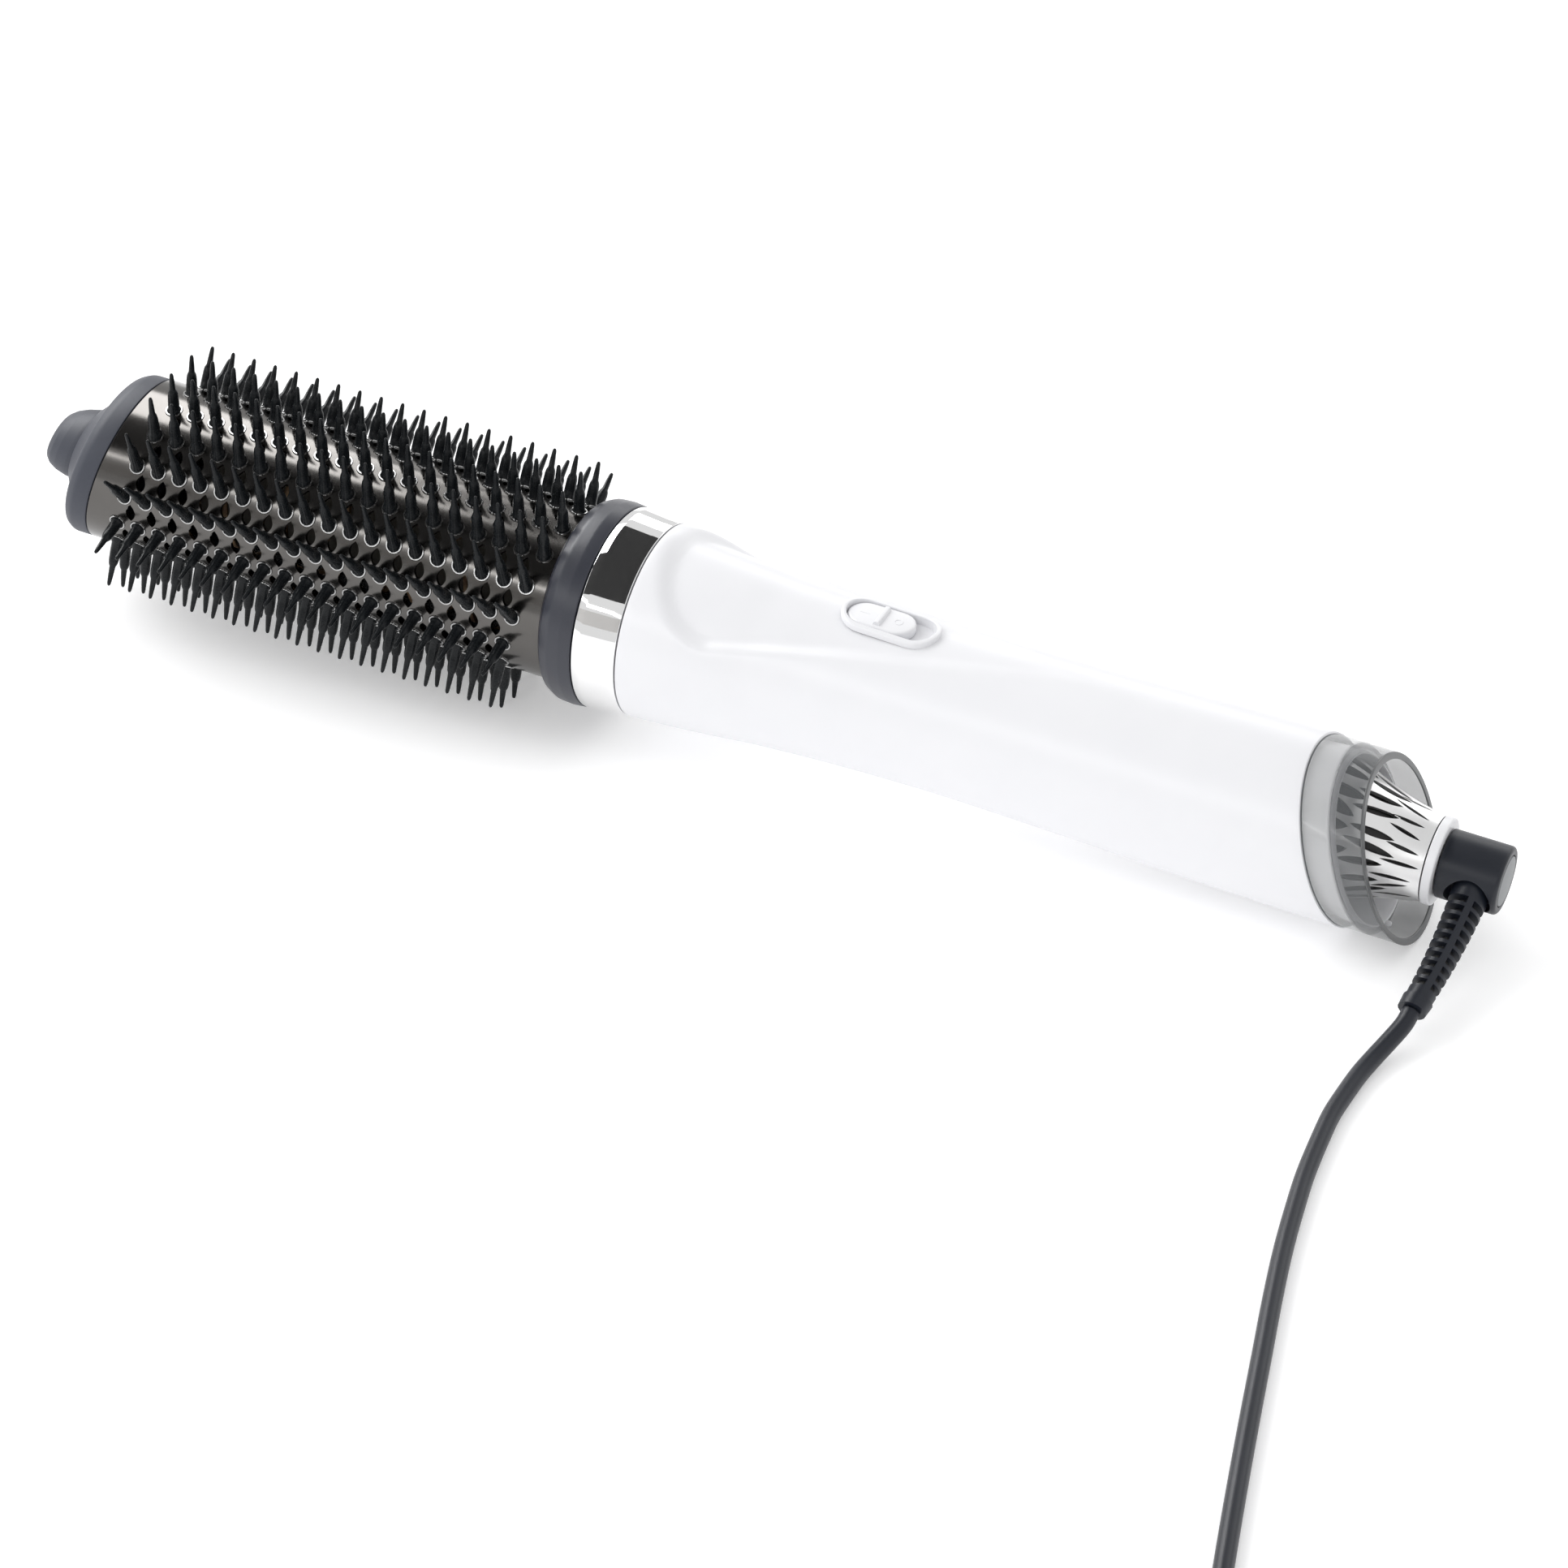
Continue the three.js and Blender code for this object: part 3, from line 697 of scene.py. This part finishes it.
HANDLE_OUTLINE = [
    (174.9, 24.85), (181, 24.5), (188, 24.05), (194, 23.55), (200.5, 22.97), (207, 22.3), (214, 21.85),
    (221, 21.4), (230, 21.02), (240, 20.7), (258, 20.45), (289, 20.9), (319, 21.65), (344, 22),
    (HANDLE_END, 22),
]
PANEL_START = CHROME_END + 2.5
PANEL_WIDEST = CHROME_END + 22
PANEL_REAR = CHROME_END + 86
PANEL_FADE = CHROME_END + 125
PANEL_HALF_WIDE = math.radians(64)
PANEL_HALF_NARROW = math.radians(24)
PANEL_DEPTH = 2.2
PANEL_EDGE = 4.5
HANDLE_WALL = 2.2
SLANT_LENGTH = 40


def panel_depth(station, angle):
    """How far the thumb panel is sunk into the handle at one point."""
    if not PANEL_START < station < PANEL_FADE:
        return 0
    wide, narrow = PANEL_HALF_WIDE, PANEL_HALF_NARROW
    least_steepness = 0.02
    radius = along_points(HANDLE_OUTLINE, station)
    angle = abs(angle)
    if station < PANEL_WIDEST:
        reach = PANEL_WIDEST - PANEL_START
        forward = (PANEL_WIDEST - station) / reach
        inside = 1 - (angle / wide) ** 2 - forward**2
        steepness = math.hypot(2 * angle / (wide * wide * radius), 2 * forward / reach)
        distance = inside / max(steepness, least_steepness)
    else:
        share = (station - PANEL_WIDEST) / (PANEL_REAR - PANEL_WIDEST)
        distance = (wide + (narrow - wide) * share - angle) * radius
    deepest = PANEL_DEPTH * (1 - smoothstep((station - PANEL_START) / (PANEL_FADE - PANEL_START)))
    return deepest * smoothstep(distance / PANEL_EDGE)


def make_handle():
    """A shell whose outside carries the thumb panel, slanted over its last stretch to meet the inlet."""
    sides, rings = 160, 150
    start = CHROME_END + GAP
    stations = [start + (HANDLE_END - start) * k / rings for k in range(rings + 1)]
    edge = 0.35
    outline = [(start, -edge), (start + edge * 0.3, -edge * 0.3)]
    outline += [(s, 0.0) for s in stations[1:-1]]
    outline += [(HANDLE_END - edge * 0.3, -edge * 0.3), (HANDLE_END, -edge)]
    inner_stations = (HANDLE_END, HANDLE_END - 15, 320, 289, 258, 230, 200, start)
    outline += [(s, -HANDLE_WALL) for s in inner_stations]
    bm = bmesh.new()
    loops = []
    for station, offset in outline:
        radius = along_points(HANDLE_OUTLINE, station) + offset
        loop = []
        for k in range(sides):
            angle = 2 * math.pi * k / sides
            signed = angle if angle <= math.pi else angle - 2 * math.pi
            here = radius - (panel_depth(station, signed) if offset > -HANDLE_WALL else 0)
            loop.append(bm.verts.new((station, here * math.sin(angle), here * math.cos(angle))))
        loops.append(loop)
    count = len(loops)
    for i in range(count):
        near, far = loops[i], loops[(i + 1) % count]
        for k in range(sides):
            after = (k + 1) % sides
            bm.faces.new([near[k], near[after], far[after], far[k]])
    for vert in bm.verts:
        slant = max(vert.co.x - HANDLE_END + SLANT_LENGTH, 0) / SLANT_LENGTH
        vert.co.x += INLET_RAKE * vert.co.z * slant
    clearance, below, above = 1.2, 14, 30
    opening = stadium(SWITCH_STATION, SLOT_LENGTH + clearance, SLOT_WIDTH + clearance)
    hole = extrude(opening, below, above)
    piece("handle_body", boolean(bm, hole), WHITE, ["handle_shell"], sharp=40)


def make_switch_rim():
    """A rim that follows the handle's curve, with a skirt down into the slot."""
    def surface(x, y):
        return math.sqrt(along_points(HANDLE_OUTLINE, x) ** 2 - y * y)

    width, skirt, skirt_depth, flange_depth = 1.25, 0.3, 3.2, 0.9
    inner = stadium(SWITCH_STATION, SLOT_LENGTH, SLOT_WIDTH)
    section = rounded([
        (0, -skirt_depth), (0, 0.62, 0.3), (width, 0.55, 0.45), (width, -flange_depth),
        (skirt, -flange_depth), (skirt, -skirt_depth),
    ])
    sections = []
    for k, (x, y) in enumerate(inner):
        before, after = Vector(inner[k - 1]), Vector(inner[(k + 1) % len(inner)])
        direction = (after - before).normalized()
        out = Vector((direction.y, -direction.x))
        sections.append([
            (x + out.x * a, y + out.y * a, surface(x + out.x * a, y + out.y * a) + b) for a, b in section
        ])
    piece("switch_rim", sweep_ring(sections), WHITE, ["switch_bezel"], sharp=50)


def make_switch():
    make_switch_rim()
    overlap, floor_bottom, floor_top = 0.4, 17.4, 18.1
    opening = stadium(SWITCH_STATION, SLOT_LENGTH + overlap, SLOT_WIDTH + overlap)
    piece("switch_slot_floor", extrude(opening, floor_bottom, floor_top), WHITE)

    station = SWITCH_STATION - SLOT_LENGTH / 2 + GAP + BUTTON_LENGTH / 2
    bottom, top = 18.3, 20.75
    edges = [
        (0.15, bottom), (0, bottom + 0.2), (0, top - 0.7),
        (0.12, top - 0.3), (0.4, top - 0.07), (0.85, top),
    ]
    contours = []
    for inset, height in edges:
        outline = stadium(station, BUTTON_LENGTH - 2 * inset, BUTTON_WIDTH - 2 * inset)
        contours.append([(x, y, height) for x, y in outline])
    button = loft(contours)
    ridge = rounded([(-0.9, -0.1), (-0.55, 0.95, 0.4), (0.55, 0.95, 0.4), (0.9, -0.1)])
    reach = BUTTON_WIDTH / 2 - 1.1
    loft([[(station + a, y, top + b) for a, b in ridge] for y in (-reach, reach)], button)
    piece("switch_slider", button, WHITE, ["switch_button"], body="button", sharp=50)
    marks = bmesh.new()
    aside, half_height = 4.4, 0.05
    extrude(stadium(station - aside, 2.6, 0.4, 6), top - half_height, top + half_height, marks)
    add_lip(marks, Matrix.Translation((station + aside, 0, top)), 1.0, 0.14, 24)
    piece("switch_marks", marks, WHITE, body="button")


# Air inlet


def add_curved_plate(bm, outline, station, angle, inner, outer, steps=12):
    """A thin plate wrapped round the axis, following the slant of the inlet."""
    low, high = min(y for x, y in outline), max(y for x, y in outline)
    start, end = min(x for x, y in outline), max(x for x, y in outline)
    sections = []
    for k in range(steps + 1):
        turn = angle + (low + (high - low) * k / steps) / outer
        lean = INLET_RAKE * outer * (math.cos(turn) - math.cos(angle))
        sections.append([
            (station + lean + x, radius * -math.sin(turn), radius * math.cos(turn))
            for x, radius in ((start, inner), (end, inner), (end, outer), (start, outer))
        ])
    loft(sections, bm)


def inlet_ring(name, start, end, look, fillet, outer=RING_RADIUS, inner=RING_BORE, **how):
    ring = tube(start, end, outer, inner, fillet, 128, (INLET_RAKE,))
    piece(name, ring, look, **how)


def make_inlet():
    clear_start, clear_end = HANDLE_END + GAP, CLEAR_RING_END - 0.25
    edge_start, edge_end = HANDLE_END + 0.08, HANDLE_END + 0.22
    rim_start, rim_gap = SMOKY_RING_END - 0.45, 0.5
    sleeve_start, sleeve_end, sleeve_radius, sleeve_bore = 347, CLEAR_RING_END + 0.6, 19.5, 19.1
    inlet_ring("clear_band", clear_start, clear_end, CLEAR, 0.35, replaces=["clear_ring"])
    inlet_ring("clear_band_edge", edge_start, edge_end, GREY, 0.03)
    inlet_ring("smoky_band", CLEAR_RING_END, SMOKY_RING_END - rim_gap, SMOKY, 0.25, replaces=["smoky_ring"])
    inlet_ring("inlet_rim", rim_start, SMOKY_RING_END, RIM, 0.15, slot="smoky_plastic")
    inlet_ring("inlet_sleeve", sleeve_start, sleeve_end, WHITE, 0.1, sleeve_radius, sleeve_bore)
    clips = bmesh.new()
    half_length, half_width, corner = 1.7, 4.6, 0.4
    plate = rounded([
        (-half_length, -half_width, corner), (half_length, -half_width, corner),
        (half_length, half_width, corner), (-half_length, half_width, corner),
    ])
    for turn in (48, 128, 215, 300):
        angle = math.radians(turn)
        station = HANDLE_END + 3.1 + INLET_RAKE * sleeve_radius * math.cos(angle)
        add_curved_plate(clips, plate, station, angle, sleeve_radius - 0.1, sleeve_radius + 0.25)
    piece("inlet_clips", clips, PALE, slot="white_plastic")
    peg_radius, peg_height = 0.9, 0.8
    peg = revolve([(0, 0), (0, peg_radius, 0.1), (peg_height, peg_radius, 0.25), (peg_height, 0)], 20)
    place = Matrix.Translation((369, -4.2, -19.55)) @ Matrix.Rotation(-math.pi / 2, 4, "Y")
    bmesh.ops.transform(peg, matrix=place, verts=peg.verts)
    piece("inlet_peg", peg, WHITE)


CONE_OUTLINE = [
    (344, 19.1), (350, 18.5), (355, 16.9), (360, 14.8), (365, 13.0), (370, 11.7), (CONE_END, 10.5),
]
RIBS = 21

# The rows of slits between the ribs: middle station, length and width
SLIT_ROWS = [(370.2, 9.8, 0.95), (362.6, 12.5, 1.9), (353.4, 12.0, 3.2)]


def slit_outline(length, width, steps=10):
    """A slit along the brush, pointed at both ends."""
    shares = [-1 + k / (steps / 2) for k in range(steps + 1)]
    upper = [(length / 2 * t, width / 2 * (1 - t * t) ** 0.8) for t in shares]
    return upper + [(x, -y) for x, y in upper[-2:0:-1]]


def make_lattice():
    """A trumpet pierced by staggered pointed slits, so that its ribs branch and join."""
    steps, sides, wall = 40, 176, 1.1
    start = CONE_OUTLINE[0][0]
    stations = [start + (CONE_END - start) * k / steps for k in range(steps + 1)]
    profile = [(x, along_points(CONE_OUTLINE, x)) for x in stations]
    profile += [(x, along_points(CONE_OUTLINE, x) - wall) for x in reversed(stations)]
    shell = revolve(profile, sides)
    rng = random.Random(7)
    slits = bmesh.new()
    reach = 3.2
    for row, (middle, length, width) in enumerate(SLIT_ROWS):
        for k in range(RIBS):
            angle = 2 * math.pi * (k + 0.5 * (row % 2) + rng.uniform(-0.16, 0.16)) / RIBS
            station = middle + rng.uniform(-0.9, 0.9)
            size = length * rng.uniform(0.82, 1.08)
            lean = math.radians(rng.uniform(-13, 13))
            radius = along_points(CONE_OUTLINE, station)
            before, after = along_points(CONE_OUTLINE, station - 2), along_points(CONE_OUTLINE, station + 2)
            slope = (after - before) / 4
            place = (
                on_barrel(station, angle, radius)
                @ Matrix.Rotation(-math.atan(slope), 4, "Y")
                @ Matrix.Rotation(lean, 4, "Z")
            )
            extrude(slit_outline(size, width), -reach, reach, slits, place)
    lattice = boolean(shell, slits)
    bmesh.ops.remove_doubles(lattice, verts=lattice.verts, dist=0.01)
    piece("inlet_lattice", lattice, SILVER, ["intake_cone"], sharp=40)
    # A black cone just inside the lattice: painted shade for the dark inside of the inlet
    clearance, shade_cone_wall = 0.5, 0.4
    shade_cone = [(x, along_points(CONE_OUTLINE, x) - wall - clearance) for x in stations]
    shade_cone += [(x, radius - shade_cone_wall) for x, radius in reversed(shade_cone)]
    piece("inlet_shade_cone", revolve(shade_cone, 96), BLACK)


# Swivel


def relief_frame(distance):
    """A frame on the strain relief's line: z points out along it, y stays near the top."""
    return (
        Matrix.Translation((SWIVEL_STATION, 0, 0))
        @ Matrix.Rotation(math.pi / 2 + RELIEF_DROP, 4, "X")
        @ Matrix.Rotation(-RELIEF_LEAN, 4, "Y")
        @ Matrix.Translation((0, 0, distance))
        @ Matrix.Rotation(RELIEF_TWIST, 4, "Z")
    )


def cone_along_relief(start, end, first, last, sides=48, steps=1):
    """A straight round piece on the strain relief's line, between two distances and radii."""
    rings = []
    for k in range(steps + 1):
        radius = first + (last - first) * k / steps
        place = relief_frame(start + (end - start) * k / steps)
        rings.append([place @ point for point in circle(radius, 0, sides)])
    return loft(rings)


def make_swivel():
    collar_radius, collar_bore, collar_end = 10.7, 5, SWIVEL_COLLAR_END - 0.1
    collar = [
        (CONE_END + GAP, collar_bore), (CONE_END + GAP, collar_radius, 0.3),
        (collar_end, collar_radius, 0.5), (collar_end, collar_bore),
    ]
    piece("cord_collar", revolve(collar, 96), WHITE, ["swivel_collar"])
    stem_start, stem_radius = 366, 4.6
    start = SWIVEL_COLLAR_END + 0.2
    recess_radius, recess_floor = 6.4, ELBOW_END - 1
    elbow = [
        (stem_start, 0), (stem_start, stem_radius), (start, stem_radius), (start, ELBOW_RADIUS, 0.3),
        (ELBOW_END, ELBOW_RADIUS, 1.0), (ELBOW_END, recess_radius, 0.15),
        (recess_floor, recess_radius), (recess_floor, 0),
    ]
    body = revolve(elbow, 96)
    body = boolean(body, cone_along_relief(5.2, 14, 5.3, 6.4))
    piece("elbow_body", body, RUBBER, ["swivel_elbow"], body="swivel", sharp=35)
    disc_radius, disc_start, disc_end = 6.15, ELBOW_END - 0.7, ELBOW_END + 0.1
    disc = [(disc_start, 0), (disc_start, disc_radius), (disc_end, disc_radius, 0.25), (disc_end, 0)]
    piece("elbow_disc", revolve(disc, 64), GREY, ["elbow_end_cap"], body="swivel")


def bow(bm, start, end):
    """Bends a straight piece on the strain relief's line a little outwards at its middle."""
    line = relief_frame(0)
    inverse = line.inverted()
    side = line.to_3x3() @ RELIEF_BOW_SIDE
    for vert in bm.verts:
        share = ((inverse @ vert.co).z - start) / (end - start)
        vert.co += side * RELIEF_BOW * 4 * share * (1 - share)


def make_relief():
    """The tapered sleeve, with slots let in from both sides and a spine left between them."""
    root = 5.4
    end = RELIEF_START + RELIEF_LENGTH
    sleeve = cone_along_relief(root, end - 0.4, 4.6, 3.15, steps=16)
    slots = bmesh.new()
    count, first, pitch, width = 10, 10.2, 2.65, 1.7
    inner, outer = 0.8, 6.0
    for side in (-1, 1):
        for k in range(count):
            place = relief_frame(first + k * pitch + (0.35 if side > 0 else 0))
            turn = place @ Matrix.Translation((side * (inner + outer) / 2, 0, 0))
            turn = turn @ Matrix.Rotation(math.pi / 2, 4, "Y") @ Matrix.Rotation(math.pi / 2, 4, "Z")
            extrude(stadium(0, 12, width, 8), (inner - outer) / 2, (outer - inner) / 2, slots, turn)
    sleeve = boolean(sleeve, slots)
    ring = cone_along_relief(end - 3.2, end, 3.65, 3.4)
    sleeve = boolean(sleeve, ring, "UNION")
    bow(sleeve, root, end)
    piece("relief_sleeve", sleeve, RUBBER, ["strain_relief"], body="swivel", sharp=35)
    lead = cone_along_relief(root, end - 1, 2.1, 2.1, 24, steps=12)
    bow(lead, root, end)
    piece("lead_in_relief", lead, BLACK, body="swivel")


# Plug


PLUG_FACE = (232.2, -392, 8.7)


def make_plug():
    """A flat two-pin plug whose boot narrows round the cord, in the millimetres of the frame."""
    face = Matrix.Translation(PLUG_FACE) @ Matrix.Rotation(-math.pi / 2, 4, "X")
    width, thickness, length = 36, 17, 22
    contours = []
    for inset, depth in ((1.2, 0), (0.35, 0.35), (0, 1.2), (0, length - 4), (0.8, length - 1), (3, length)):
        outline = stadium(0, width - 2 * inset, thickness - 2 * inset)
        contours.append([(x, y, depth) for x, y in outline])
    shell = loft(contours)
    boot_outline = [(7.2, -2), (6.6, 3), (5.2, 9), (4.0, 15), (3.2, 20)]
    boot = loft([circle(radius, length + past, 32) for radius, past in boot_outline])
    shell = boolean(shell, boot, "UNION")
    place = Matrix.Scale(MM, 4) @ face
    return piece("plug_shell", shell, RUBBER, ["plug_body"], body="swivel", place=place, sharp=40)


# Stage


def at_height(corners, height):
    return [(x, y, height) for x, y in corners]


def card(name, corners, look, glossy_only=True):
    """A flat piece of the studio; unless told otherwise it shows only in reflections."""
    mesh = bpy.data.meshes.new(name)
    mesh.from_pydata(corners, [], [(0, 1, 2, 3)])
    mesh.materials.append(look)
    made = bpy.data.objects.new(name, mesh)
    bpy.context.scene.collection.objects.link(made)
    if glossy_only:
        made.visible_camera = False
        made.visible_diffuse = False
        made.visible_shadow = False
        made.visible_transmission = False
    return made


def plain(name, colour, roughness=0.9, glow=0.0):
    made = bpy.data.materials.new(name)
    made.use_nodes = True
    shader = made.node_tree.nodes["Principled BSDF"]
    shader.inputs["Base Color"].default_value = (*colour, 1)
    shader.inputs["Roughness"].default_value = roughness
    shader.inputs["Specular IOR Level"].default_value = 0.1
    shader.inputs["Emission Color"].default_value = (1, 1, 1, 1)
    shader.inputs["Emission Strength"].default_value = glow
    return made


def add_area(name, place, size, power, aim=(0, 0, 0.02)):
    light = bpy.data.lights.new(name, "AREA")
    light.shape = "RECTANGLE"
    light.size, light.size_y = size
    light.energy = power
    holder = bpy.data.objects.new(name, light)
    bpy.context.scene.collection.objects.link(holder)
    holder.location = place
    direction = Vector(aim) - Vector(place)
    holder.rotation_euler = direction.to_track_quat("-Z", "Y").to_euler()


def make_stage():
    wide = 6
    floor = [(-wide, -wide), (wide, -wide), (wide, wide), (-wide, wide)]
    floor_look = plain("floor", (0.94, 0.94, 0.945), glow=0.22)
    card("floor", at_height(floor, 0), floor_look, glossy_only=False)

    # A dark flag overhead gives the mirror ring its black band; the bright card just under the
    # flag's left part is what the top of the barrel mirrors
    flag_height, card_drop = 1.2, 0.02
    flag = [(-3, -1.25), (0.2, -1.25), (0.2, 1.1), (-3, 1.1)]
    card("overhead_flag", at_height(flag, flag_height), plain("flag", (0.03, 0.03, 0.03)))
    bright = [(-3, 0.1), (-0.49, 0.1), (-0.81, 1.5), (-3, 1.5)]
    bright_look = plain("bright_card", (0.8, 0.8, 0.8), glow=6)
    card("overhead_card", at_height(bright, flag_height - card_drop), bright_look)
    low, high, front = 0.35, 0.85, -1.7
    soft = [(-3, front, low), (3, front, low), (3, front, high), (-3, front, high)]
    card("front_card", soft, plain("soft_card", (0.45, 0.44, 0.43)))

    world = bpy.data.worlds.new("studio")
    world.use_nodes = True
    background = world.node_tree.nodes["Background"]
    background.inputs["Color"].default_value = (1, 1, 1, 1)
    background.inputs["Strength"].default_value = 0.82
    bpy.context.scene.world = world
    add_area("key", (-1.7, -0.1, 1.6), (1.6, 1.6), 26)
    add_area("strip", (-0.6, -1.7, 1.1), (3.0, 0.12), 7)
    add_area("back", (0.2, 1.9, 0.9), (2.4, 0.7), 9)
    bpy.context.scene.view_settings.view_transform = "Standard"


dress_cad_nodes()
make_nose()
make_barrel()
make_bristles()
make_collar()
make_handle()
make_switch()
make_inlet()
make_lattice()
make_swivel()
make_relief()
plug = make_plug()
make_stage()
